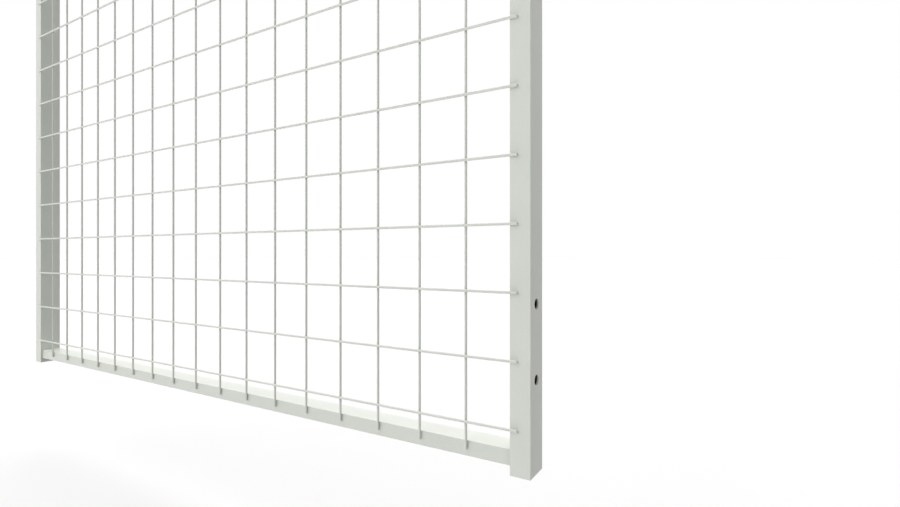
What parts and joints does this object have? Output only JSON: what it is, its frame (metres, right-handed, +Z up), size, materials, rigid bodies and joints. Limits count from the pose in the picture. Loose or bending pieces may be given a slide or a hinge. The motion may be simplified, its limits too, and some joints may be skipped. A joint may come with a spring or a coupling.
{
  "type": "wire mesh panel",
  "caption": "Upright welded wire mesh panel for a machine guard: a rectangular tube frame with wires welded to its front and fixing holes in the sides of its posts.",
  "frame": {"origin": "on the outer side face of the right post, at mid depth, midway between its two lower fixing holes", "axes": "+Z up along the posts, +X out of the right post's outer side, -Y out of the front, where the wires are"},
  "size_m": [0.98, 0.0327, 1.95],
  "materials": {
    "frame_coat": "light grey satin powder coat on steel tube",
    "wire_coat": "light grey satin powder coat on welded steel wire"
  },
  "bodies": {
    "root": {"right_post": "frame_coat", "left_post": "frame_coat", "bottom_rail": "frame_coat", "top_rail": "frame_coat", "lower_wire_mesh": "wire_coat", "upper_wire_mesh": "wire_coat"}
  },
  "joints": []
}
